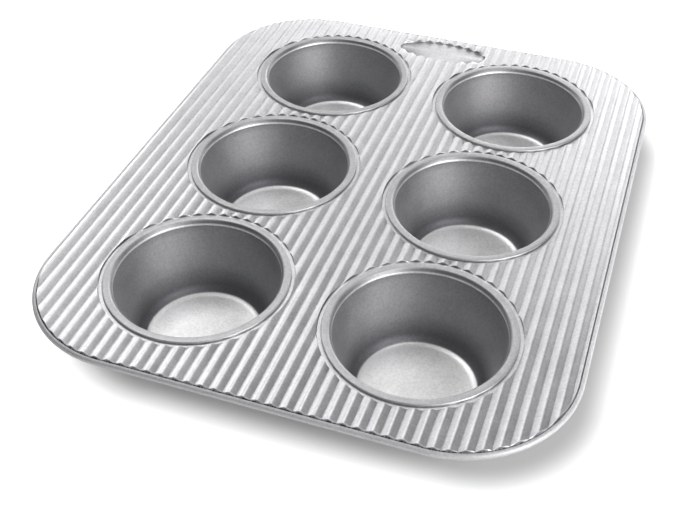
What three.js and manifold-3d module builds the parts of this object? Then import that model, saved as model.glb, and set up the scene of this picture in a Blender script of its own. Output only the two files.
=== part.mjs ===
// A muffin pan with six drawn cups locked into a fluted deck plate.
// The plate's edge is rolled round a stiffening wire, and an oval pad at the back stays plain.
// Millimetres, +Z up. The origin lies under the middle of the pan, level with the cup undersides.
// +X runs across the columns of cups, and +Y along the rows towards the plain pad.

import * as THREE from 'three';
import { mergeVertices } from 'three/addons/utils/BufferGeometryUtils.js';
import Module from 'manifold-3d';

const wasm = await Module();
wasm.setup();

// Cups
const ROWS = ['front', 'middle', 'back'];
const COLUMNS = ['left', 'right'];
const CUP_DEPTH = 34; // ring top to the inside of the floor
const CUP_WALL = 0.5;
const MOUTH_DIAMETER = 69.2; // inside the collar
const THROAT_STEP = 0.4; // how far the wall starts inside the collar, under the locking bead
const FLOOR_DIAMETER = 55.4; // inside, where wall and floor would meet
const FLOOR_FILLET = 4.5;
const LIP_REACH = 3; // how far across the ring the round-over into the collar starts
const LIP_DROP = 1.2; // ring top to where that round-over meets the collar
const RING_WIDTH = 4.2; // mouth to the ring's outer edge
const RING_RISE = 1.2; // ring top above its seat in the deck
const BEAD_DEPTH = 0.7; // how far the locking bead swells outwards
const BEAD_HEIGHT = 1.4;

// Layout
const BRIDGE_ACROSS = 17.8; // between the rings of two columns
const BRIDGE_ALONG = 5.8; // between the rings of two rows
const SIDE_MARGIN = 26.7; // ring to the side edge
const END_MARGIN = 17.5; // ring to the front or back edge
const CORNER_RADIUS = 49.5;

// Deck plate
const DECK_SHEET = 0.5;
const FLUTE_PITCH = 5.53;
const FLUTE_HEIGHT = 1.2;
const FLUTE_OFFSET = 1.7; // from the centre line to the nearest crest
const SEAT_MARGIN = 1.3; // plain strip between a ring and the flute ends
const COLLAR_HEIGHT = 0.9; // how far a hole's edge is turned down
const COLLAR_BEND = 0.7;
const PAD_LENGTH = 47;
const PAD_WIDTH = 18;
const PAD_SETBACK = 15.7; // pad centre to the back edge

// Rolled hem and its wire
const WIRE_DIAMETER = 1.2;
const WIRE_CLEARANCE = 0.2;
const HEM_TURN = 290; // degrees that the sheet is rolled through

// Seams
const SEAM_GAP = 0.3; // between a cup and the deck
const SHEET_LAP = 0.3; // stretch that the hem and the hole edges share with the plate

// Facets
const ROUND_FACETS = 24; // round a cup or a hole
const CORNER_FACETS = 8; // round a quarter of the outline
const PAD_FACETS = 24;
const WIRE_FACETS = 6;
const HEM_FACETS = 7; // round the rolled hem
const CUP_BEND_FACETS = 2; // round a cup's fillet or lip
const COLLAR_BEND_FACETS = 2;

// Sizes that follow from these
const mouthRadius = MOUTH_DIAMETER / 2;
const ringRadius = mouthRadius + RING_WIDTH;
const pitchAcross = 2 * ringRadius + BRIDGE_ACROSS;
const pitchAlong = 2 * ringRadius + BRIDGE_ALONG;
const panWidth = 2 * (ringRadius + SIDE_MARGIN) + (COLUMNS.length - 1) * pitchAcross;
const panLength = 2 * (ringRadius + END_MARGIN) + (ROWS.length - 1) * pitchAlong;
const ringTop = CUP_WALL + CUP_DEPTH;
const plateTop = ringTop - RING_RISE;
const plateBottom = plateTop - DECK_SHEET;
const collarBottom = plateTop - COLLAR_HEIGHT;
const collarRadius = mouthRadius + CUP_WALL + SEAM_GAP;
const seatRadius = ringRadius + SEAT_MARGIN;
const hemRadius = WIRE_DIAMETER / 2 + WIRE_CLEARANCE + DECK_SHEET;
const cupSpots = ROWS.flatMap((row, j) => COLUMNS.map((column, i) => ({
  name: `cup_${row}_${column}`,
  x: (i - (COLUMNS.length - 1) / 2) * pitchAcross,
  y: (j - (ROWS.length - 1) / 2) * pitchAlong,
})));

// Finishes
const deckSteel = new THREE.MeshStandardMaterial({ color: 0xcdcdd0, roughness: 0.42, metalness: 0.9 });
const cupSteel = new THREE.MeshStandardMaterial({ color: 0xa6a6a9, roughness: 0.38, metalness: 0.9 });
const wireSteel = new THREE.MeshStandardMaterial({ color: 0x8d8f93, roughness: 0.5, metalness: 0.9 });

// Solids for joining and cutting

function toSolid(geometry) {
  const bare = geometry.clone();
  bare.deleteAttribute('normal');
  bare.deleteAttribute('uv');
  const welded = mergeVertices(bare);
  const vertProperties = new Float32Array(welded.attributes.position.array);
  const triVerts = new Uint32Array(welded.index.array);
  return new wasm.Manifold(new wasm.Mesh({ numProp: 3, vertProperties, triVerts }));
}

function toGeometry(solid) {
  const { vertProperties, triVerts } = solid.getMesh();
  const geometry = new THREE.BufferGeometry();
  geometry.setAttribute('position', new THREE.BufferAttribute(vertProperties, 3));
  geometry.setIndex(new THREE.BufferAttribute(triVerts, 1));
  geometry.computeVertexNormals();
  return geometry;
}

// Lines and profiles

const at = (x, y) => new THREE.Vector2(x, y);

// The line moved sideways by a distance to its right, with mitred corners.
function offsetLine(line, distance) {
  return line.map((point, i) => {
    const before = line[Math.max(i - 1, 0)];
    const after = line[Math.min(i + 1, line.length - 1)];
    const arriving = point.clone().sub(before).normalize();
    const leaving = after.clone().sub(point).normalize();
    const along = arriving.clone().add(leaving).normalize();
    const straight = i > 0 ? arriving : leaving;
    const reach = distance / along.dot(straight);
    return at(point.x + along.y * reach, point.y - along.x * reach);
  });
}

// A closed sheet profile: the line is one face of the sheet, and the other face lies to its right.
function sheetProfile(line, thickness) {
  const farFace = offsetLine(line, thickness);
  return [...farFace, ...line.toReversed()];
}

// The corner between two straight runs, rounded to a radius.
function roundedCorner(before, corner, after, radius, facets) {
  const back = before.clone().sub(corner).normalize();
  const onward = after.clone().sub(corner).normalize();
  const halfAngle = Math.acos(back.dot(onward)) / 2;
  const reach = radius / Math.tan(halfAngle);
  const start = corner.clone().addScaledVector(back, reach);
  const end = corner.clone().addScaledVector(onward, reach);
  return new THREE.QuadraticBezierCurve(start, corner, end).getPoints(facets);
}

// A full ellipse as a closed line whose last point isn't a copy of the first.
function ellipseLine(x, y, radiusX, radiusY, facets) {
  return new THREE.EllipseCurve(x, y, radiusX, radiusY).getPoints(facets).slice(0, -1);
}

function circleLine(x, y, radius) {
  return ellipseLine(x, y, radius, radius, ROUND_FACETS);
}

// The pan's outline in plan, moved outwards by a distance.
function outline(outwards) {
  const radius = CORNER_RADIUS + outwards;
  const x = panWidth / 2 - CORNER_RADIUS;
  const y = panLength / 2 - CORNER_RADIUS;
  const quarter = Math.PI / 2;
  const centres = [at(x, -y), at(x, y), at(-x, y), at(-x, -y)];
  return centres.flatMap((centre, i) => {
    const start = (i - 1) * quarter;
    const corner = new THREE.EllipseCurve(centre.x, centre.y, radius, radius, start, start + quarter);
    return corner.getPoints(CORNER_FACETS);
  });
}

// Solids from lines

function revolve(profile) {
  return new THREE.LatheGeometry(profile, ROUND_FACETS).rotateX(Math.PI / 2);
}

function prism(edge, bottom, top) {
  const shape = new THREE.Shape(edge);
  const geometry = new THREE.ExtrudeGeometry(shape, { depth: top - bottom, bevelEnabled: false });
  return geometry.translate(0, 0, bottom);
}

// A flat slab of the outline with each of the closed lines cut right through it.
function cutSlab(edge, cuts, bottom, top) {
  const thickness = top - bottom;
  const cutters = cuts.map((line) => toSolid(prism(line, bottom - thickness, top + thickness)));
  return cutters.reduce((slab, cutter) => slab.subtract(cutter), toSolid(prism(edge, bottom, top)));
}

// A closed profile carried round the pan: x is the distance outside the outline and y the height.
function carryRound(profile) {
  const rings = profile.map((point) => outline(point.x).map((p) => [p.x, p.y, point.y]));
  const turn = rings[0].length;
  const index = [];
  rings.forEach((ring, i) => ring.forEach((_, j) => {
    const nextRing = ((i + 1) % rings.length) * turn;
    const nextSpot = (j + 1) % turn;
    const here = i * turn + j;
    const beside = i * turn + nextSpot;
    index.push(here, beside, nextRing + nextSpot, here, nextRing + nextSpot, nextRing + j);
  }));
  const geometry = new THREE.BufferGeometry();
  geometry.setAttribute('position', new THREE.Float32BufferAttribute(rings.flat(2), 3));
  geometry.setIndex(index);
  geometry.computeVertexNormals();
  return geometry;
}

// A bar the length of the pan whose top is the row of flutes and whose underside is flat.
function fluteBar(valley, bottom) {
  const reach = Math.ceil(panWidth / 2 / FLUTE_PITCH) + 1;
  const crest = valley + FLUTE_HEIGHT;
  const left = FLUTE_OFFSET - (reach + 0.5) * FLUTE_PITCH;
  const right = FLUTE_OFFSET + (reach + 0.5) * FLUTE_PITCH;
  const section = new THREE.Shape();
  section.moveTo(left, bottom);
  section.lineTo(right, bottom);
  section.lineTo(right, valley);
  for (let i = reach; i >= -reach; i -= 1) {
    const middle = FLUTE_OFFSET + i * FLUTE_PITCH;
    section.lineTo(middle, crest);
    section.lineTo(middle - FLUTE_PITCH / 2, valley);
  }
  const bar = new THREE.ExtrudeGeometry(section, { depth: panLength, bevelEnabled: false });
  return bar.rotateX(Math.PI / 2).translate(0, panLength / 2, 0);
}

// Pieces

// The fluted field in plan: inside the hem, and clear of the cup seats and the plain pad.
function fluteField(inset, bottom, top) {
  const padY = panLength / 2 - PAD_SETBACK;
  const seats = cupSpots.map(({ x, y }) => circleLine(x, y, seatRadius + inset));
  const pad = ellipseLine(0, padY, PAD_LENGTH / 2 + inset, PAD_WIDTH / 2 + inset, PAD_FACETS);
  return cutSlab(outline(-hemRadius - inset), [...seats, pad], bottom, top);
}

// The edge of a cup's hole, turned down into a short collar.
function holeCollar() {
  const bendStart = at(collarRadius + COLLAR_BEND, plateTop);
  const corner = at(collarRadius, plateTop);
  const foot = at(collarRadius, collarBottom);
  const lap = at(bendStart.x + SHEET_LAP, plateTop);
  const bend = roundedCorner(foot, corner, lap, COLLAR_BEND, COLLAR_BEND_FACETS);
  const section = sheetProfile([foot, ...bend, lap], DECK_SHEET);
  return revolve([...section, section[0]]);
}

// The plate's edge rolled outwards and under, round the wire.
function rolledHem() {
  const middle = at(-hemRadius, plateTop - hemRadius);
  const roll = Array.from({ length: HEM_FACETS + 1 }, (_, i) => {
    const angle = THREE.MathUtils.degToRad(90 - (HEM_TURN * i) / HEM_FACETS);
    return at(middle.x + hemRadius * Math.cos(angle), middle.y + hemRadius * Math.sin(angle));
  });
  const line = [at(middle.x - SHEET_LAP, plateTop), ...roll];
  return carryRound(sheetProfile(line, DECK_SHEET));
}

function deckPlate() {
  const crest = plateTop + FLUTE_HEIGHT;
  const holes = cupSpots.map(({ x, y }) => circleLine(x, y, collarRadius + COLLAR_BEND));
  const below = plateBottom - DECK_SHEET;
  const plate = cutSlab(outline(-hemRadius), holes, plateBottom, plateTop);
  const ridges = toSolid(fluteBar(plateTop, plateBottom)).intersect(fluteField(0, plateBottom, crest));
  const hollows = toSolid(fluteBar(plateBottom, below)).intersect(fluteField(DECK_SHEET, below, crest));
  const fluted = plate.add(ridges).subtract(hollows);
  const collars = cupSpots.map(({ x, y }) => toSolid(holeCollar().translate(x, y, 0)));
  const turnedEdges = [toSolid(rolledHem()), ...collars];
  return toGeometry(turnedEdges.reduce((deck, edge) => deck.add(edge), fluted));
}

function rimWire() {
  const radius = WIRE_DIAMETER / 2;
  return carryRound(ellipseLine(-hemRadius, plateTop - hemRadius, radius, radius, WIRE_FACETS));
}

// A drawn cup: floor, tapered wall, locking bead, collar, low rounded lip and turned-down ring.
function cup() {
  const beadTop = collarBottom - SEAM_GAP;
  const beadBottom = beadTop - BEAD_HEIGHT;
  const floorCentre = at(0, CUP_WALL);
  const floorCorner = at(FLOOR_DIAMETER / 2, CUP_WALL);
  const throat = at(mouthRadius - THROAT_STEP, beadBottom);
  const bead = at(mouthRadius + BEAD_DEPTH, (beadTop + beadBottom) / 2);
  const collar = at(mouthRadius, beadTop);
  const lipFoot = at(mouthRadius, ringTop - LIP_DROP);
  const lipCorner = at(mouthRadius, ringTop);
  const lipTop = at(mouthRadius + LIP_REACH, ringTop);
  const lip = new THREE.QuadraticBezierCurve(lipFoot, lipCorner, lipTop).getPoints(CUP_BEND_FACETS);
  const ringCorner = at(ringRadius, ringTop);
  const ringFoot = at(ringRadius, plateTop + SEAM_GAP);
  const inside = [
    floorCentre,
    ...roundedCorner(floorCentre, floorCorner, throat, FLOOR_FILLET, CUP_BEND_FACETS),
    throat,
    bead,
    collar,
    ...lip,
    ringCorner,
    ringFoot,
  ];
  return revolve(sheetProfile(inside, CUP_WALL));
}

function piece(name, geometry, material) {
  const mesh = new THREE.Mesh(geometry, material);
  mesh.name = name;
  return mesh;
}

const pan = new THREE.Group();
pan.name = 'muffin_pan';
pan.add(piece('deck_plate', deckPlate(), deckSteel));
pan.add(piece('rim_wire', rimWire(), wireSteel));
for (const { name, x, y } of cupSpots) {
  const drawnCup = piece(name, cup(), cupSteel);
  drawnCup.position.set(x, y, 0);
  pan.add(drawnCup);
}

export default pan;
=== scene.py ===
"""A six-cup muffin pan of fluted, rolled and drawn steel sheet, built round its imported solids."""

import math

import bmesh
import bpy
import numpy as np
from bpy.props import FloatProperty, FloatVectorProperty, PointerProperty
from bpy.types import NodeSocket, Operator, Panel, PropertyGroup
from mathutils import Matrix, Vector


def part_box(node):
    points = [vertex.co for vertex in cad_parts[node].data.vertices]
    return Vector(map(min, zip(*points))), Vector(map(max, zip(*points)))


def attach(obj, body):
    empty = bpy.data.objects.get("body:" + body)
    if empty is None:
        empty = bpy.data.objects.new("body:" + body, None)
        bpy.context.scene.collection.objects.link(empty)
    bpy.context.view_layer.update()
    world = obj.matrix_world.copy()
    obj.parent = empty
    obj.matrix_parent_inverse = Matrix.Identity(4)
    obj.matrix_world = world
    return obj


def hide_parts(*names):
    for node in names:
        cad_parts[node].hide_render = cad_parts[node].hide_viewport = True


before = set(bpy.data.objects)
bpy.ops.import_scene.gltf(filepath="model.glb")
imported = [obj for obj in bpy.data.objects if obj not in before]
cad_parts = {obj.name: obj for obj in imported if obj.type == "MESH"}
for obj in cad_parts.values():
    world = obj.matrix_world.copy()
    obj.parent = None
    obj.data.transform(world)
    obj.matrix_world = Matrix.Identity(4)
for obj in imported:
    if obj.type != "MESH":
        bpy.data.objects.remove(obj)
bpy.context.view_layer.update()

bl_info = {
    "name": "Muffin Pan",
    "version": (1, 0, 0),
    "blender": (4, 5, 0),
    "location": "View3D > Sidebar > Muffin Pan",
    "description": "Builds a muffin pan's fluted deck, rim wire and cups, with finishes and a studio",
    "category": "Add Mesh",
}

MM = 0.001
CENTRE_DECIMALS = 6
GRID_DECIMALS = 9
ZERO_GUARD = 1e-6

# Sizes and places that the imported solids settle
CUP_NODES = sorted(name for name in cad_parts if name.startswith("cup_"))
CUP_BOXES = {name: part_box(name) for name in CUP_NODES}
CUP_CENTRES = {name: np.round((low + high).xy / 2, CENTRE_DECIMALS)
               for name, (low, high) in CUP_BOXES.items()}
CUP_COLUMNS, CUP_ROWS = (np.unique(places) for places in zip(*CUP_CENTRES.values()))
RING_DIAMETER = CUP_BOXES[CUP_NODES[0]][1].x - CUP_BOXES[CUP_NODES[0]][0].x
RING_TOP = CUP_BOXES[CUP_NODES[0]][1].z
DECK_HALF_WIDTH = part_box("deck_plate")[1].x
DECK_HALF_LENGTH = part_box("deck_plate")[1].y

# How finely the deck is drawn
FLUTE_PHASES = (-0.28, -0.16, -0.08, 0.0, 0.08, 0.16, 0.28, 0.44, 0.5, 0.56)
WALL_STEPS = (0.0, 0.35, 0.7, 1.0, 1.25)  # shares of the run, the last past it to keep the shading straight
BODY_ROWS = 2
TANGENT_ANGLES = np.radians(np.arange(0, 36, 4))
TANGENT_SLACK = 1e-6  # share of a squared radius under which a chord counts as a touch
LEAST_LINE_GAP = 0.06 * MM
PAD_ROWS = (-1.0, -0.97, -0.93, 0.0, 0.93, 0.97, 1.0)
SEAT_SUPPORT = 0.12 * MM
COLLAR_STEPS = 3
CREASE_SHARES = (0.3, 0.5)  # of the crease's width, to its bottom and to the roll's first point
CREASE_UNDER = 0.6  # share of the sheet by which the inner face lies under the crease
HEM_STEPS = 12

# How finely a cup and the wire are drawn
CUP_TURNS = 128
FLOOR_RINGS = 7
FILLET_STEPS = 10
PALE_FILLET_STEPS = 4  # those of them that stay as pale as the floor, carrying its painted highlight up the fillet
WALL_RINGS = 12
BEAD_STEPS = 18
LIP_STEPS = 14
EDGE_STEPS = 6
WIRE_TURNS = 12
CORNER_STEPS = 24

# How the grids are joined
MERGE_DISTANCE = 0.001 * MM
SHARP_ANGLE = math.radians(32)
# The first sheet state is painted shade: the share of a darker colour mixed in where the sheet stands in
# shade, low where the cups are painted lit; the second is the coat
SHEET_STATES = ("painted_shade", "coating")
SHADE_COLUMN = 3  # after X, Y and Z

# Painted shade on a cup's sheet, at shares of its height: most at the wall's foot, less at mid-height, a
# pale band of painted highlight at the lip's foot, the lip darkened, and the ring between
SHADE_HEIGHTS = (0.12, 0.24, 0.4, 0.58, 0.8, 0.925, 0.938, 0.95, 0.962, 0.985, 0.995)
SHADE_SHARES = (1.0, 0.86, 0.65, 0.64, 0.8, 0.82, 0.2, 0.2, 0.95, 0.95, 0.66)

# Painted shade on its floor, at shares of the flat part's radius: a little in the middle, none at the edge,
# so the edge reads as a painted highlight
FLOOR_PLACES = (0.72, 0.96)
FLOOR_SHADE_SHARES = (0.16, 0.0)

# Where its coat ends past the floor, as shares of that radius, and starts again, as shares of the height
COATED_FLOOR = (1.14, 1.16)
COATED_MOUTH = (0.92, 0.94)

# Painted shade on the deck, as shares of the dark fold colour
HEM_END_SHADE = 1.0  # painted shade on the flute ends at the hem
SEAT_END_SHADE = 0.8  # painted shade on the flute ends at the seats
PAD_END_SHADES = (0.4, 1.0)  # painted shade on the flute ends at the pad's middle and at its tips
HEM_ROLL_SHADE = 0.35  # painted shade on the hem's roll, across the flutes
HEM_SIDE_SHADE = 0.2  # share of the hem's painted shade kept along the flutes, at the sides
# Painted shade on the pad: almost none inside, a dark line along its edge
PAD_PLACES = (0.93, 0.965)  # shares of the pad's half axes, inside its edge line and on it
PAD_SHADE_SHARES = (0.05, 0.7)

# Grain and clouds: the noise's detail and roughness, the range of it in use, and the tones that it gives
GRAIN_NOISE = (3.0, 0.6)
CLOUD_NOISE = (4.0, 0.55)
NOISE_RANGE = (0.3, 0.7)
GRAIN_TONES = (0.88, 1.12)
CLOUD_TONES = (0.95, 1.05)

# The paper sweep, in metres: flat out to a radius and then bent up
SWEEP_FLAT = 3.0
SWEEP_BEND = 1.0
SWEEP_STEPS = 12
SWEEP_TURNS = 96

# Painted shadow on the sweep, over the lamps' real shadow: the pan's outline, moved against this shift and
# grown by the spread, inside which the lift stays low
SHADOW_SHIFT = (-6 * MM, -17 * MM, 0.0)
SHADOW_SPREAD = 3 * MM

# Soft boxes: degrees right of the back, degrees up, width in metres, and brightness
SOFT_BOXES = {
    "key_box": (-60, 64, 0.46, 5.6),
    "back_high_box": (0, 64, 0.46, 1.2),
    "front_right_box": (120, 64, 0.46, 2.0),
    "back_left_box": (-30, 38, 0.46, 0.95),
    "back_box": (0, 38, 0.46, 0.78),
    "fill_box": (120, 38, 0.46, 8.4),
    "left_low_box": (-60, 14, 0.42, 3.2),
    "back_left_low_box": (-30, 14, 0.42, 1.4),
    "back_low_box": (0, 14, 0.42, 4.8),
    "back_right_low_box": (30, 14, 0.42, 3.3),
    "right_low_box": (120, 14, 0.42, 12.3),
}
SENSOR_WIDTH = 36.0  # millimetres
CLIP_START = 10 * MM


def linear(hex_colour):
    """An sRGB hex colour as linear red, green and blue."""
    channels = [int(hex_colour[i:i + 2], 16) / 255 for i in (1, 3, 5)]
    return tuple(c / 12.92 if c <= 0.04045 else ((c + 0.055) / 1.055) ** 2.4 for c in channels)


def length(name, description, millimetres):
    """A size in the sidebar, given here in millimetres and kept in metres."""
    return FloatProperty(name=name, description=description, default=millimetres * MM, min=0.0,
                         precision=5, unit="LENGTH")


def colour(name, description, hex_colour):
    """A colour in the sidebar, given here as an sRGB hex value."""
    return FloatVectorProperty(name=name, description=description, default=linear(hex_colour),
                               min=0.0, max=1.0, subtype="COLOR")


class DeckSizes(PropertyGroup):
    """Sizes of the fluted deck sheet"""

    sheet: length("Sheet", "Thickness of the deck sheet", 0.5)
    level: length("Level", "Height of the flute valleys, the cup seats and the pad", 33.3)
    corner_radius: length("Corner radius", "Radius of the outline's corners", 49.5)
    flute_pitch: length("Flute pitch", "From one crest to the next", 5.53)
    flute_height: length("Flute height", "Crest above valley", 1.2)
    flute_offset: length("Flute offset", "From the centre line to the nearest crest", 1.7)
    crest_round: FloatProperty(name="Crest rounding", description="Share of a flank that the crest rounds",
                               default=0.22, min=0.01, max=1.0, subtype="FACTOR")
    seat_margin: length("Seat margin", "Plain strip between a ring and the flute ends", 1.4)
    seat_wall: length("Seat wall", "Run of the flute ends at the seats and the pad", 0.25)
    hem_wall: length("Hem wall", "Run of the flute ends along the hem", 0.2)
    collar_radius: length("Hole radius", "Inside the collar that a cup drops through", 35.4)
    collar_bend: length("Collar bend", "Radius of the bend into the collar", 0.7)
    collar_height: length("Collar height", "How far the hole's edge is turned down", 0.9)
    pad_length: length("Pad length", "Long axis of the plain oval pad", 47.0)
    pad_width: length("Pad width", "Short axis of the plain oval pad", 18.0)
    pad_setback: length("Pad setback", "From the pad's centre to the back edge", 15.7)
    hem_radius: length("Hem radius", "Outside radius of the rolled hem", 1.3)
    hem_crease: length("Hem crease", "Depth of the crease between the flute ends and the roll", 0.8)
    crease_width: length("Crease width", "Width of that crease", 0.75)
    hem_turn: FloatProperty(name="Hem turn", description="Angle that the sheet is rolled through",
                            default=math.radians(290), subtype="ANGLE")


class CupSizes(PropertyGroup):
    """Sizes of one drawn cup"""

    sheet: length("Sheet", "Thickness of the cup's wall", 0.5)
    mouth_radius: length("Mouth radius", "Inside the collar", 34.6)
    throat_radius: length("Throat radius", "Inside, under the locking bead", 34.5)
    floor_radius: length("Floor radius", "Where wall and floor would meet, inside", 26.9)
    floor_fillet: length("Floor fillet", "Inside radius between wall and floor", 6.0)
    bead_top: length("Bead top", "Height of the locking bead's upper edge", 32.1)
    bead_height: length("Bead height", "Height of the locking bead", 1.4)
    bead_depth: length("Bead depth", "How far the bead swells outwards", 0.05)
    lip_reach: length("Lip reach", "How far across the ring the slope into the collar starts", 1.6)
    lip_drop: length("Lip drop", "From the ring's top to where that slope meets the collar", 2.0)
    lip_fullness: FloatProperty(name="Lip fullness", default=1.4, min=1.0, max=2.0,
                                description="Exponent of the lip: 1 is a cone, 2 an ellipse")
    ring_rise: length("Ring rise", "Height of the ring above its seat", 1.2)
    ring_bend: length("Ring bend", "Radius of the ring's turned-down edge", 0.6)
    ring_gap: length("Ring gap", "Seam between the ring's edge and the deck", 0.15)


class WireSizes(PropertyGroup):
    """Sizes of the stiffening wire inside the hem"""

    diameter: length("Diameter", "Thickness of the wire", 1.2)


class Finishes(PropertyGroup):
    """Colours of the metals"""

    deck_steel: colour("Deck steel", "Colour of the deck's aluminised sheet", "#D6D6D8")
    # Painted shade: dark grey laid into the flute ends, the hem's crease and roll, and the pad's edge line
    deck_fold_shade: colour("Deck folds", "Colour of the deck's tight folds", "#565659")
    # Painted light: the cups' pale colour is pure white, paler than the steel, so the floors look lit
    cup_steel: colour("Cup steel", "Colour of the cups' aluminised sheet where it stays flat", "#FFFFFF")
    # Painted shade: the cups' darker colour, mixed into the walls and lip where they stand in shade
    cup_painted_shade: colour("Cup walls", "Colour of the cups' drawn walls", "#7B7B7F")
    wire_steel: colour("Wire steel", "Colour of the drawn wire", "#9A9B9E")


class StageSettings(PropertyGroup):
    """Camera and floor"""

    floor: colour("Floor", "Colour of the studio floor", "#BCBCBC")
    floor_dusk: FloatProperty(name="Floor dusk", default=0.07, min=0.0, max=1.0, subtype="FACTOR",
                              description="Brightness that the camera sees added in the shadow")
    floor_lift: FloatProperty(name="Floor lift", default=1.0, min=0.0, max=1.0, subtype="FACTOR",
                              description="Brightness that the camera sees added on the open floor")
    floor_fade: length("Floor fade", "Width of the shadow's soft edge", 21.0)
    lens: FloatProperty(name="Lens", description="Focal length in millimetres", default=53.19, unit="CAMERA")
    azimuth: FloatProperty(name="Azimuth", description="Camera's turn to the right of the front view",
                           default=math.radians(19.106), subtype="ANGLE")
    elevation: FloatProperty(name="Elevation", description="Camera's height above the horizon",
                             default=math.radians(41.34), subtype="ANGLE")
    distance: length("Distance", "From the camera to the point that it looks at", 433.0)
    target: FloatVectorProperty(name="Target", description="Point that the camera looks at",
                                default=(8.31 * MM, -53.08 * MM, 34.5 * MM),
                                subtype="TRANSLATION", unit="LENGTH")


class PanSettings(PropertyGroup):
    """All sizes and colours of the muffin pan"""

    deck: PointerProperty(name="Deck", description="Sizes of the deck", type=DeckSizes)
    cup: PointerProperty(name="Cup", description="Sizes of a cup", type=CupSizes)
    wire: PointerProperty(name="Wire", description="Sizes of the rim wire", type=WireSizes)
    finish: PointerProperty(name="Finish", description="Colours of the metals", type=Finishes)
    stage: PointerProperty(name="Stage", description="Camera and floor", type=StageSettings)


# Surfaces

def arc(across, up, radius, start, end, steps):
    """Points round a circle: centre plus radius times the cosine and sine of even angles, in degrees."""
    angle = np.radians(np.linspace(start, end, steps + 1))
    return np.stack([across + radius * np.cos(angle), up + radius * np.sin(angle)], axis=-1)


def pressed(profile, shaded=0.0, coated=0.0):
    """A profile of reach and height with two more columns, 0 to 1: how much painted shade it carries and how
    far it is coated.
    """
    states = [np.broadcast_to(state, len(profile)) for state in (shaded, coated)]
    return np.column_stack([profile, *states])


def carry(profile, path, outward):
    """A profile carried along a path: path point plus outward direction times reach, other columns kept."""
    plan = path[:, None, :] + outward[:, None, :] * profile[None, :, :1]
    kept = np.broadcast_to(profile[None, :, 1:], plan.shape[:2] + (profile.shape[1] - 1,))
    return np.concatenate([plan, kept], axis=-1)


def circle_directions(angles):
    """Unit directions in plan at the given angles."""
    return np.stack([np.cos(angles), np.sin(angles)], axis=-1)


def half_chord(lines, centre, radius):
    """Half a circle's chord on lines of constant X: the root of radius squared less offset squared."""
    square = radius ** 2 - (lines - centre) ** 2
    return np.sqrt(np.where(square > TANGENT_SLACK * radius ** 2, square, 0.0))


def flute_wave(across, deck):
    """Flute height over X, 0 in a valley to 1 on a crest: a triangle wave with a hyperbola at its peak."""
    phase = (across - deck.flute_offset) / deck.flute_pitch
    off_crest = 2 * np.abs(phase - np.round(phase))
    top = math.hypot(1, deck.crest_round)
    return (top - np.hypot(off_crest, deck.crest_round)) / (top - deck.crest_round)


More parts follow.
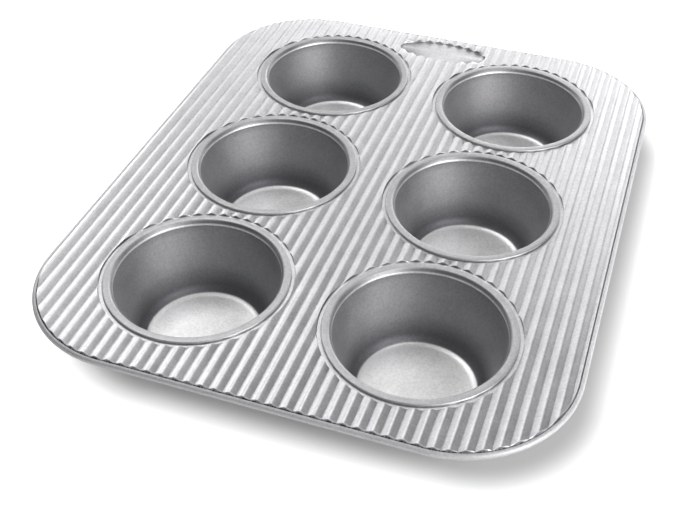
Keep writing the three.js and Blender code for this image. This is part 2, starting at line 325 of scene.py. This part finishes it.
class DeckPlan:
    """The deck in plan: the lines of its grid and the boundaries that the flutes end on."""

    def __init__(self, deck):
        self.deck = deck
        self.seat = RING_DIAMETER / 2 + deck.seat_margin
        self.corner = deck.corner_radius - deck.hem_radius - deck.crease_width
        self.corner_x = DECK_HALF_WIDTH - deck.corner_radius
        self.corner_y = DECK_HALF_LENGTH - deck.corner_radius
        self.pad_y = DECK_HALF_LENGTH - deck.pad_setback
        self.lines = self.grid_lines()

    def grid_lines(self):
        """X of the grid's lines: ten a flute, and closer ones where a seat, corner or pad runs along Y."""
        deck = self.deck
        steps = np.array(WALL_STEPS)
        cosines = np.cos(TANGENT_ANGLES)
        seat = np.concatenate([self.seat + steps * deck.seat_wall, self.seat * cosines])
        corner = np.concatenate([self.corner - steps * deck.hem_wall, self.corner * cosines, [0.0]])
        pad = np.concatenate([deck.pad_length / 2 + steps * deck.seat_wall, deck.pad_length / 2 * cosines])
        exact = [column + side * seat for column in CUP_COLUMNS for side in (-1, 1)]
        exact += [side * (self.corner_x + corner) for side in (-1, 1)] + [-pad, pad]
        exact = np.unique(np.round(np.concatenate(exact), GRID_DECIMALS))
        reach = math.ceil(DECK_HALF_WIDTH / deck.flute_pitch) + 1
        crests = deck.flute_offset + deck.flute_pitch * np.arange(-reach, reach + 1)
        flutes = (crests[:, None] + deck.flute_pitch * np.array(FLUTE_PHASES)).ravel()
        flutes = flutes[np.abs(flutes) < self.corner_x + self.corner]
        clear = np.abs(flutes[:, None] - exact).min(axis=1) > LEAST_LINE_GAP
        return np.sort(np.concatenate([exact, flutes[clear]]))

    def edge(self, step=0.0):
        """Y of the flute field's outline on each line, a share of the hem wall further in."""
        radius = self.corner - step * self.deck.hem_wall
        return self.corner_y + half_chord(np.maximum(np.abs(self.lines) - self.corner_x, 0.0), 0.0, radius)

    def chord(self, step=0.0):
        """Half the seats' chord on each line, a share of the seat wall further out."""
        radius = self.seat + step * self.deck.seat_wall
        return np.max([half_chord(self.lines, column, radius) for column in CUP_COLUMNS], axis=0)

    def oval(self, step=0.0):
        """Half the pad's chord on each line, a share of the seat wall further out."""
        grown = step * self.deck.seat_wall
        long, short = self.deck.pad_length / 2 + grown, self.deck.pad_width / 2 + grown
        return short * half_chord(self.lines / long, 0.0, 1.0)

    def split(self):
        """Y of a line through the pad's centre, or elsewhere halfway from the last seats to the edge."""
        halfway = (CUP_ROWS[-1] + self.chord(1.0) + self.edge(1.0)) / 2
        pad_reach = self.deck.pad_length / 2 + self.deck.seat_wall + MERGE_DISTANCE
        return np.where(np.abs(self.lines) < pad_reach, self.pad_y, halfway)

    def bands(self):
        """Rows of Y for each stretch of deck between front edge, three rows of seats, pad and back edge."""
        starts = [lambda s: -self.edge(s)]
        ends = []
        for row in CUP_ROWS:
            ends.append(lambda s, row=row: row - self.chord(s))
            starts.append(lambda s, row=row: row + self.chord(s))
        ends.append(lambda s: self.split() - self.oval(s))
        starts.append(lambda s: self.split() + self.oval(s))
        ends.append(lambda s: self.edge(s))
        found = []
        for start, end in zip(starts, ends):
            middle = (start(0.0) + end(0.0)) / 2
            low = [np.minimum(start(s), middle) for s in WALL_STEPS]
            high = [np.maximum(end(s), middle) for s in reversed(WALL_STEPS)]
            shares = np.linspace(0, 1, BODY_ROWS + 2)[1:-1]
            body = [low[-1] + share * (high[0] - low[-1]) for share in shares]
            found.append(np.stack(low + body + high, axis=-1))
        return found

    def end_mask(self, across, along):
        """0 on a boundary to 1 past its wall, by a smooth step of the distance to it, and the painted shade
        there.

        The boundary is the nearest of the hem, the seats and the pad, measured in runs of its own wall.
        The painted shade, a darkening of the flute ends' walls, is four times the mask times one less the
        mask, times the boundary's share.
        """
        deck = self.deck
        past_x = np.maximum(np.abs(across) - self.corner_x, 0.0)
        past_y = np.maximum(np.abs(along) - self.corner_y, 0.0)
        inner = np.maximum(np.abs(across) - self.corner_x, np.abs(along) - self.corner_y)
        hem = self.corner - np.hypot(past_x, past_y) - np.minimum(inner, 0.0)
        from_cups = [np.hypot(across - x, along - y) for x, y in CUP_CENTRES.values()]
        seats = np.min(from_cups, axis=0) - self.seat
        long, short = deck.pad_length / 2, deck.pad_width / 2
        scaled = np.hypot(across / long, (along - self.pad_y) / short)
        slope = np.hypot(across / long ** 2, (along - self.pad_y) / short ** 2)
        slope = slope / np.maximum(scaled, ZERO_GUARD)
        pad = (scaled - 1) / np.maximum(slope, ZERO_GUARD)
        runs = np.stack([hem / deck.hem_wall, seats / deck.seat_wall, pad / deck.seat_wall])
        share = np.clip(runs.min(axis=0), 0.0, 1.0)
        mask = share ** 2 * (3 - 2 * share)
        pad_end_shade = np.interp(np.abs(across) / long, (0.0, 1.0), PAD_END_SHADES)
        end_shade = np.choose(runs.argmin(axis=0), [HEM_END_SHADE, SEAT_END_SHADE, pad_end_shade])
        return mask, 4 * mask * (1 - mask) * end_shade

    def boundary(self, bands):
        """The field's outline, anticlockwise from the front left, with each point's outward direction."""
        lines, edge = self.lines, self.edge()
        ends = np.stack([lines, -edge], axis=-1)
        bulge = np.sign(lines) * np.maximum(np.abs(lines) - self.corner_x, 0.0)
        outward = np.stack([bulge, self.corner_y - edge], axis=-1) / self.corner
        climb = np.unique(np.round(np.concatenate([rows[-1] for rows in bands]), GRID_DECIMALS))
        climb = climb[np.abs(climb) < self.corner_y - MERGE_DISTANCE]
        side = np.stack([np.full_like(climb, lines[-1]), climb], axis=-1)
        facing = np.tile([1.0, 0.0], (len(climb), 1))
        path = np.concatenate([ends, side, ends[::-1] * (1, -1), side[::-1] * (-1, 1), ends[:1]])
        normal = np.concatenate([outward, facing, outward[::-1] * (1, -1), facing * (-1, 1), outward[:1]])
        return path, normal


def seat_directions(plan, column):
    """Directions from a cup's centre to where the grid's lines cross its seat, once round anticlockwise."""
    offset = (plan.lines - column) / plan.seat
    offset = offset[offset ** 2 < 1 + TANGENT_SLACK]
    offset = np.where(1 - offset ** 2 < TANGENT_SLACK, np.sign(offset), offset)
    angle = np.arccos(offset)
    return circle_directions(np.concatenate([-angle, angle[::-1][1:]]))


def hem_profiles(deck):
    """The crease and the roll, as reach past the flutes and height, for the sheet's outer and inner face."""
    to_bottom, to_roll = CREASE_SHARES
    middle, centre = deck.crease_width, deck.level - deck.hem_radius
    start = 90 + math.degrees(math.asin(min((1 - to_roll) * deck.crease_width / deck.hem_radius, 1.0)))
    end = 90 - math.degrees(deck.hem_turn)
    inner_radius = deck.hem_radius - deck.sheet
    bottom = deck.level - deck.hem_crease
    outer = np.concatenate([[(0.0, deck.level), (to_bottom * deck.crease_width, bottom)],
                            arc(middle, centre, deck.hem_radius, start, end, HEM_STEPS)])
    inner = np.concatenate([[(0.0, deck.level - deck.sheet), (0.0, bottom - CREASE_UNDER * deck.sheet)],
                            arc(middle, centre, inner_radius, start, end, HEM_STEPS)])
    rolled = np.arange(len(outer)) > 1
    # Painted shade: full in the crease, part on the roll
    shaded = np.where(rolled, HEM_ROLL_SHADE, 1.0)
    return pressed(outer, shaded, rolled), pressed(inner)


def collar_profiles(deck, seat):
    """The plain seat and turned-down collar, as radius and height, for the sheet's upper and lower face."""
    middle, centre = deck.collar_radius + deck.collar_bend, deck.level - deck.collar_bend
    foot = deck.level - deck.collar_height
    inner_bend = deck.collar_bend - deck.sheet
    upper = np.concatenate([[(seat, deck.level), (seat - SEAT_SUPPORT, deck.level)],
                            arc(middle, centre, deck.collar_bend, 90, 180, COLLAR_STEPS),
                            [(deck.collar_radius, foot)]])
    lower = np.concatenate([[(seat, deck.level - deck.sheet)],
                            arc(middle, centre, inner_bend, 90, 180, COLLAR_STEPS),
                            [(deck.collar_radius + deck.sheet, foot)]])
    return pressed(upper), pressed(lower)


def deck_patches(deck):
    """The deck sheet as grids: the fluted field, the plain pad, six seats with collars, and the rolled hem.

    The field's height is the level plus flute height times flute wave times end mask. Its rows follow
    the hem, the seats and the pad. The underside lies one sheet lower, and each turned edge is a carried
    profile.
    """
    plan = DeckPlan(deck)
    lines = plan.lines
    bands = plan.bands()
    drop = np.array([0.0, 0.0, deck.sheet, 0.0, 0.0])
    patches = []
    for rows in bands:
        across = np.broadcast_to(lines[:, None], rows.shape)
        wave = flute_wave(across, deck)
        mask, end_shade = plan.end_mask(across, rows)
        height = deck.level + deck.flute_height * wave * mask
        # The fourth column is painted shade on the flute ends, strongest on the crests
        top = np.stack([across, rows, height, wave * end_shade, np.zeros_like(rows)], axis=-1)
        patches += [top, (top - drop)[::-1]]
    on_pad = np.abs(lines) < deck.pad_length / 2 + MERGE_DISTANCE
    rows = plan.pad_y + plan.oval()[on_pad, None] * np.array(PAD_ROWS)
    across = np.broadcast_to(lines[on_pad, None], rows.shape)
    outward = np.hypot(across / (deck.pad_length / 2), (rows - plan.pad_y) / (deck.pad_width / 2))
    # Painted shade: a dark line along the pad's edge
    shaded = np.interp(outward, PAD_PLACES, PAD_SHADE_SHARES)
    pad = np.stack([across, rows, np.full_like(rows, deck.level), shaded, np.zeros_like(rows)], axis=-1)
    patches += [pad, (pad - drop)[::-1]]
    upper, lower = collar_profiles(deck, plan.seat)
    for centre in CUP_CENTRES.values():
        around = seat_directions(plan, centre[0])
        path = np.broadcast_to(centre, around.shape)
        foot = np.stack([upper[-1], lower[-1]])
        patches += [carry(upper, path, around), carry(lower, path, around)[::-1], carry(foot, path, around)]
    outer, inner = hem_profiles(deck)
    path, normal = plan.boundary(bands)
    lip = np.stack([outer[-1], inner[-1]])
    roll = carry(outer, path, normal)
    # Painted shade on the hem: full along the front and back, cut back along the sides
    roll[..., SHADE_COLUMN] *= HEM_SIDE_SHADE + (1 - HEM_SIDE_SHADE) * np.abs(normal[:, 1:])
    patches += [roll[::-1], carry(inner, path, normal), carry(lip, path, normal)[::-1]]
    return patches


def cup_line(cup, depth):
    """One face of the cup's sheet, from the floor's centre to the ring's foot, a depth behind the inner.

    Floor, fillet arc, straight wall, bead as a squared sine on a smooth step, straight collar, lip as a
    quarter of a superellipse, flat ring and turned-down edge. Painted shade darkens the sheet most at the
    wall's foot and on the lip, and leaves the floor pale as painted light. The floor, the lip and the ring
    are coated.
    """
    floor = cup.sheet
    bead_foot = cup.bead_top - cup.bead_height
    lean = math.atan2(cup.throat_radius - cup.floor_radius, bead_foot - floor)
    reach = cup.floor_fillet * math.tan((math.pi / 2 - lean) / 2)
    fillet = arc(cup.floor_radius - reach, floor + cup.floor_fillet, cup.floor_fillet + depth,
                 -90, -math.degrees(lean), FILLET_STEPS)
    share = np.linspace(0, 1, BEAD_STEPS + 1)
    swell = cup.bead_depth * np.sin(math.pi * share) ** 2
    eased = share ** 2 * (3 - 2 * share)
    bead = np.stack([cup.throat_radius + (cup.mouth_radius - cup.throat_radius) * eased + swell + depth,
                     bead_foot + cup.bead_height * share], axis=-1)
    ring_radius = RING_DIAMETER / 2
    bow = arc(0.0, 0.0, 1.0, 0, 90, LIP_STEPS) ** (2 / cup.lip_fullness)
    lip = np.stack([cup.mouth_radius + cup.lip_reach - (cup.lip_reach - depth) * bow[:, 0],
                    RING_TOP - cup.lip_drop + (cup.lip_drop - depth) * bow[:, 1]], axis=-1)
    edge = arc(ring_radius - cup.ring_bend, RING_TOP - cup.ring_bend, cup.ring_bend - depth,
               90, 0, EDGE_STEPS)
    foot = [(ring_radius - depth, RING_TOP - cup.ring_rise + cup.ring_gap)]
    out = np.linspace(0, fillet[0, 0], FLOOR_RINGS + 1)[:-1]
    flat = np.stack([out, np.full_like(out, floor - depth)], axis=-1)
    wall = fillet[-1] + np.linspace(0, 1, WALL_RINGS + 2)[1:-1, None] * (bead[0] - fillet[-1])
    line = np.concatenate([flat, fillet, wall, bead, lip, edge, foot])
    on_floor = np.arange(len(line)) < len(flat) + PALE_FILLET_STEPS
    outward, upward = line[:, 0] / fillet[0, 0], line[:, 1] / RING_TOP
    # Painted shade: by radius on the floor and fillet, by height on the wall, lip and ring
    shaded = np.where(on_floor, np.interp(outward, FLOOR_PLACES, FLOOR_SHADE_SHARES),
                      np.interp(upward, SHADE_HEIGHTS, SHADE_SHARES))
    shaded[-len(edge) - len(foot):] = SHADE_SHARES[-1]
    coated = np.maximum(np.interp(outward, COATED_FLOOR, (1.0, 0.0)),
                        np.interp(upward, COATED_MOUTH, (0.0, 1.0)))
    return pressed(line, shaded, coated)


def cup_patches(cup, centre):
    """The cup turned about its axis: inner face out to the ring's foot, outer face back to the centre."""
    profile = np.concatenate([cup_line(cup, 0.0), cup_line(cup, cup.sheet)[::-1]])
    around = circle_directions(np.linspace(0, 2 * math.pi, CUP_TURNS + 1))
    path = np.broadcast_to(centre, around.shape)
    return [carry(profile, path, around)[::-1]]


def wire_patches(wire, deck):
    """The wire: a circle carried round the outline, a hem radius in from the pan's edge."""
    radius = deck.corner_radius - deck.hem_radius
    x, y = DECK_HALF_WIDTH - deck.corner_radius, DECK_HALF_LENGTH - deck.corner_radius
    corners = np.array([(x, y), (-x, y), (-x, -y), (x, -y), (x, y)])
    starts = np.radians([0, 90, 180, 270])
    turn = np.radians(np.linspace(0, 90, CORNER_STEPS + 1))
    angles = np.append((starts[:, None] + turn).ravel(), 0.0)
    around = circle_directions(angles)
    centres = np.append(np.repeat(corners[:4], CORNER_STEPS + 1, axis=0), corners[4:], axis=0)
    section = arc(0.0, deck.level - deck.hem_radius, wire.diameter / 2, 0, 360, WIRE_TURNS)
    return [carry(pressed(section), centres + radius * around, around)]


# Pieces

def make_object(name, patches, material):
    """Joins grids of points and sheet states into one mesh object, with touching edges welded."""
    points, faces, count = [], [], 0
    for patch in patches:
        rows, columns = patch.shape[:2]
        corner = np.arange(rows * columns).reshape(rows, columns) + count
        quads = [corner[:-1, :-1], corner[1:, :-1], corner[1:, 1:], corner[:-1, 1:]]
        faces.append(np.stack(quads, axis=-1).reshape(-1, 4))
        points.append(patch.reshape(-1, patch.shape[-1]))
        count += rows * columns
    points = np.concatenate(points)
    mesh = bpy.data.meshes.new(name)
    mesh.from_pydata(points[:, :SHADE_COLUMN].tolist(), [], np.concatenate(faces).tolist())
    for column, state in enumerate(SHEET_STATES, start=SHADE_COLUMN):
        values = points[:, column].astype(np.float32)
        mesh.attributes.new(state, "FLOAT", "POINT").data.foreach_set("value", values)
    work = bmesh.new()
    work.from_mesh(mesh)
    bmesh.ops.remove_doubles(work, verts=work.verts[:], dist=MERGE_DISTANCE)
    work.to_mesh(mesh)
    work.free()
    mesh.shade_smooth()
    mesh.set_sharp_from_angle(angle=SHARP_ANGLE)
    mesh.materials.append(material)
    piece = bpy.data.objects.new(name, mesh)
    bpy.context.scene.collection.objects.link(piece)
    return piece


def make_piece(name, patches, material, slot, *nodes):
    """Makes a closed mesh object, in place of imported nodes, on the one rigid body."""
    piece = make_object(name, patches, material)
    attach(piece, "root")
    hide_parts(*nodes)


# Finishes

def add_node(tree, kind, settings=(), inputs=()):
    """Adds a node with its settings, and gives each named input a value or a link from a node's socket."""
    node = tree.nodes.new(kind)
    for name, value in dict(settings).items():
        setattr(node, name, value)
    for name, value in dict(inputs).items():
        if isinstance(value, NodeSocket):
            tree.links.new(value, node.inputs[name])
        else:
            node.inputs[name].default_value = value
    return node


def steel(name, plain, dull, grain_mm, grain_depth_mm, cloud_mm, shaded=None, coated_dull=None, coat=None):
    """Aluminised steel under a thin clear bake: a satin metal with a fine sandy grain and faint clouds.

    Where the sheet carries painted shade it is mixed towards the darker colour, which stands in for shade;
    on the cups the paler colour is painted light. Coated sheet has the coat's own sheen. The grain breaks
    the sheen into specks, and is drawn coarser than the real one, which is too fine to show. The clouds
    vary tone and sheen.
    """
    material = bpy.data.materials.new(name)
    material.use_nodes = True
    tree = material.node_tree
    tree.nodes.clear()
    place = add_node(tree, "ShaderNodeTexCoord")
    grain, clouds = (
        add_node(tree, "ShaderNodeTexNoise", inputs={
            "Vector": place.outputs["Object"], "Scale": 1 / (size_mm * MM),
            "Detail": detail, "Roughness": rough})
        for size_mm, (detail, rough) in ((grain_mm, GRAIN_NOISE), (cloud_mm, CLOUD_NOISE)))
    tone, polish, bare = plain, dull, 1.0
    if shaded is not None:
        shade_share, coating = (
            add_node(tree, "ShaderNodeAttribute", {"attribute_name": state}) for state in SHEET_STATES)
        # Painted shade: the darker colour mixed in by the painted-shade share
        tone = add_node(tree, "ShaderNodeMix", {"data_type": "RGBA"}, {
            "Factor": shade_share.outputs["Fac"], "A": (*plain, 1.0), "B": (*shaded, 1.0)}).outputs["Result"]
        polish = add_node(tree, "ShaderNodeMapRange", inputs={
            "Value": coating.outputs["Fac"], "To Min": dull, "To Max": coated_dull}).outputs["Result"]
        bare = add_node(tree, "ShaderNodeMapRange", inputs={
            "Value": coating.outputs["Fac"], "To Min": 1.0, "To Max": 1 - coat}).outputs["Result"]
    specks, patches = (
        add_node(tree, "ShaderNodeMapRange", inputs={
            "Value": noise.outputs["Fac"], "From Min": NOISE_RANGE[0], "From Max": NOISE_RANGE[1],
            "To Min": darkest, "To Max": palest})
        for noise, (darkest, palest) in ((grain, GRAIN_TONES), (clouds, CLOUD_TONES)))
    shade = add_node(tree, "ShaderNodeMath", {"operation": "MULTIPLY"}, {
        0: specks.outputs["Result"], 1: patches.outputs["Result"]})
    colour_mix = add_node(tree, "ShaderNodeVectorMath", {"operation": "SCALE"}, {
        "Vector": tone, "Scale": shade.outputs["Value"]})
    roughness = add_node(tree, "ShaderNodeMath", {"operation": "MULTIPLY"}, {
        0: patches.outputs["Result"], 1: polish})
    bump = add_node(tree, "ShaderNodeBump", inputs={
        "Height": grain.outputs["Fac"], "Strength": 1.0, "Distance": grain_depth_mm * MM})
    shader = add_node(tree, "ShaderNodeBsdfPrincipled", inputs={
        "Base Color": colour_mix.outputs["Vector"], "Metallic": bare,
        "Roughness": roughness.outputs["Value"], "Normal": bump.outputs["Normal"]})
    add_node(tree, "ShaderNodeOutputMaterial", inputs={"Surface": shader.outputs["BSDF"]})
    return material


# Stage

def sweep_patches():
    """A paper sweep turned about the vertical: a flat disc whose edge bends up through a quarter circle."""
    bend = arc(SWEEP_FLAT, SWEEP_BEND, SWEEP_BEND, -90, 0, SWEEP_STEPS)
    profile = pressed(np.concatenate([[(0.0, 0.0)], bend]))
    around = circle_directions(np.linspace(0, 2 * math.pi, SWEEP_TURNS + 1))
    return [carry(profile, np.zeros_like(around), around)[::-1]]


def floor_finish(tone, dusk, lift, fade, corner):
    """Matt pale paper sweep, which the camera and the metal see lifted to white away from the pan.

    The lift grows across a fade centred a little outside the pan's outline, moved right and back. The shadow
    is partly the lamps' real shadow on the paper and partly painted: inside that outline the lift stays
    low, so a painted shadow of the pan's outline shows.
    """
    material = bpy.data.materials.new("white_paper_sweep")
    material.use_nodes = True
    tree = material.node_tree
    tree.nodes.clear()
    paper = add_node(tree, "ShaderNodeBsdfDiffuse", inputs={"Color": (*tone, 1.0)})
    place = add_node(tree, "ShaderNodeTexCoord")
    lean = add_node(tree, "ShaderNodeVectorMath", {"operation": "ADD"}, {
        0: place.outputs["Object"], 1: SHADOW_SHIFT})
    side = add_node(tree, "ShaderNodeVectorMath", {"operation": "ABSOLUTE"}, {0: lean.outputs["Vector"]})
    core = (DECK_HALF_WIDTH - corner, DECK_HALF_LENGTH - corner, 0.0)
    past = add_node(tree, "ShaderNodeVectorMath", {"operation": "SUBTRACT"}, {
        0: side.outputs["Vector"], 1: core})
    out = add_node(tree, "ShaderNodeVectorMath", {"operation": "MAXIMUM"}, {0: past.outputs["Vector"]})
    gap = add_node(tree, "ShaderNodeVectorMath", {"operation": "LENGTH"}, {0: out.outputs["Vector"]})
    # Painted shadow: the glow is low inside the moved outline and full outside it
    rise = add_node(tree, "ShaderNodeMapRange", {"interpolation_type": "SMOOTHSTEP"}, {
        "Value": gap.outputs["Value"], "To Min": dusk, "To Max": lift,
        "From Min": corner + SHADOW_SPREAD - fade / 2, "From Max": corner + SHADOW_SPREAD + fade / 2})
    ray = add_node(tree, "ShaderNodeLightPath")
    seen = add_node(tree, "ShaderNodeMath", {"operation": "MAXIMUM"}, {
        0: ray.outputs["Is Camera Ray"], 1: ray.outputs["Is Glossy Ray"]})
    shown = add_node(tree, "ShaderNodeMath", {"operation": "MAXIMUM"}, {
        0: seen.outputs["Value"], 1: ray.outputs["Is Transmission Ray"]})
    amount = add_node(tree, "ShaderNodeMath", {"operation": "MULTIPLY"}, {
        0: rise.outputs["Result"], 1: shown.outputs["Value"]})
    glow = add_node(tree, "ShaderNodeEmission", inputs={"Strength": amount.outputs["Value"]})
    both = add_node(tree, "ShaderNodeAddShader", inputs={
        0: paper.outputs["BSDF"], 1: glow.outputs["Emission"]})
    add_node(tree, "ShaderNodeOutputMaterial", inputs={"Surface": both.outputs["Shader"]})
    return material


def soft_box(name, azimuth, elevation, width, glow):
    """A round soft box one metre from the pan, placed by degrees right of the back and degrees up.

    It is an even disc of light. Its power is brightness times pi times the disc's area.
    """
    turn, climb = math.radians(azimuth), math.radians(elevation)
    away = Vector((math.sin(turn) * math.cos(climb), math.cos(turn) * math.cos(climb), math.sin(climb)))
    lamp = bpy.data.lights.new(name, "AREA")
    lamp.shape = "DISK"
    lamp.size = width
    lamp.energy = glow * math.pi * math.pi * (width / 2) ** 2
    holder = bpy.data.objects.new(name, lamp)
    holder.location = away
    holder.rotation_euler = away.to_track_quat("Z", "Y").to_euler()
    bpy.context.scene.collection.objects.link(holder)


class MUFFINPAN_OT_make_deck(Operator):
    """Build the fluted deck sheet with its seats, collars, pad and rolled hem"""

    bl_idname = "muffin_pan.make_deck"
    bl_label = "Make Deck"

    def execute(self, context):
        pan = context.scene.muffin_pan
        material = steel("aluminised_steel_fluted", pan.finish.deck_steel, dull=0.42,
                         grain_mm=1.0, grain_depth_mm=0.012, cloud_mm=9.0,
                         shaded=pan.finish.deck_fold_shade, coated_dull=0.6, coat=0.5)
        make_piece("deck_sheet", deck_patches(pan.deck), material, "deck_steel", "deck_plate")
        return {"FINISHED"}


class MUFFINPAN_OT_make_wire(Operator):
    """Build the stiffening wire that the hem is rolled round"""

    bl_idname = "muffin_pan.make_wire"
    bl_label = "Make Rim Wire"

    def execute(self, context):
        pan = context.scene.muffin_pan
        material = steel("drawn_steel_wire", pan.finish.wire_steel, dull=0.4,
                         grain_mm=0.6, grain_depth_mm=0.01, cloud_mm=6.0)
        make_piece("hem_wire", wire_patches(pan.wire, pan.deck), material, "wire_steel", "rim_wire")
        return {"FINISHED"}


class MUFFINPAN_OT_make_cups(Operator):
    """Build the six drawn cups"""

    bl_idname = "muffin_pan.make_cups"
    bl_label = "Make Cups"

    def execute(self, context):
        pan = context.scene.muffin_pan
        material = steel("aluminised_steel_drawn", pan.finish.cup_steel, dull=0.61,
                         grain_mm=1.0, grain_depth_mm=0.015, cloud_mm=9.0,
                         shaded=pan.finish.cup_painted_shade, coated_dull=0.48, coat=0.12)
        for node, centre in CUP_CENTRES.items():
            make_piece("drawn_" + node, cup_patches(pan.cup, centre), material, "cup_steel", node)
        return {"FINISHED"}


class MUFFINPAN_OT_make_stage(Operator):
    """Build the floor, the soft boxes and the camera"""

    bl_idname = "muffin_pan.make_stage"
    bl_label = "Make Stage"

    def execute(self, context):
        scene = context.scene
        stage = scene.muffin_pan.stage
        paper = floor_finish(stage.floor, stage.floor_dusk, stage.floor_lift, stage.floor_fade,
                             scene.muffin_pan.deck.corner_radius)
        floor = make_object("floor", sweep_patches(), paper)
        for name, setting in SOFT_BOXES.items():
            soft_box(name, *setting)
        world = bpy.data.worlds.new("studio")
        world.use_nodes = True
        tree = world.node_tree
        tree.nodes.clear()
        glow = add_node(tree, "ShaderNodeBackground", inputs={"Color": (1, 1, 1, 1), "Strength": 0.0})
        add_node(tree, "ShaderNodeOutputWorld", inputs={"Surface": glow.outputs["Background"]})
        scene.world = world
        camera = bpy.data.objects.new("camera", bpy.data.cameras.new("camera"))
        camera.data.sensor_width = SENSOR_WIDTH
        camera.data.lens = stage.lens
        camera.data.clip_start = CLIP_START
        back = Vector((math.sin(stage.azimuth) * math.cos(stage.elevation),
                       -math.cos(stage.azimuth) * math.cos(stage.elevation), math.sin(stage.elevation)))
        camera.location = Vector(stage.target) + back * stage.distance
        camera.rotation_euler = back.to_track_quat("Z", "Y").to_euler()
        scene.collection.objects.link(camera)
        scene.camera = camera
        scene.view_settings.view_transform = "Standard"
        return {"FINISHED"}


class MUFFINPAN_PT_sidebar(Panel):
    """Sizes, colours and buttons of the muffin pan"""

    bl_idname = "MUFFINPAN_PT_sidebar"
    bl_label = "Muffin Pan"
    bl_space_type = "VIEW_3D"
    bl_region_type = "UI"
    bl_category = "Muffin Pan"

    def draw(self, context):
        pan = context.scene.muffin_pan
        for group in (pan.deck, pan.cup, pan.wire, pan.finish, pan.stage):
            box = self.layout.box()
            for name in group.__annotations__:
                box.prop(group, name)
        for operator in OPERATORS:
            self.layout.operator(operator.bl_idname)


OPERATORS = (MUFFINPAN_OT_make_deck, MUFFINPAN_OT_make_wire, MUFFINPAN_OT_make_cups, MUFFINPAN_OT_make_stage)
CLASSES = (DeckSizes, CupSizes, WireSizes, Finishes, StageSettings, PanSettings, *OPERATORS,
           MUFFINPAN_PT_sidebar)


def register():
    for cls in CLASSES:
        bpy.utils.register_class(cls)
    bpy.types.Scene.muffin_pan = PointerProperty(type=PanSettings)


def unregister():
    del bpy.types.Scene.muffin_pan
    for cls in reversed(CLASSES):
        bpy.utils.unregister_class(cls)


def main():
    register()
    bpy.ops.muffin_pan.make_deck()
    bpy.ops.muffin_pan.make_wire()
    bpy.ops.muffin_pan.make_cups()
    bpy.ops.muffin_pan.make_stage()


if __name__ == "__main__":
    main()
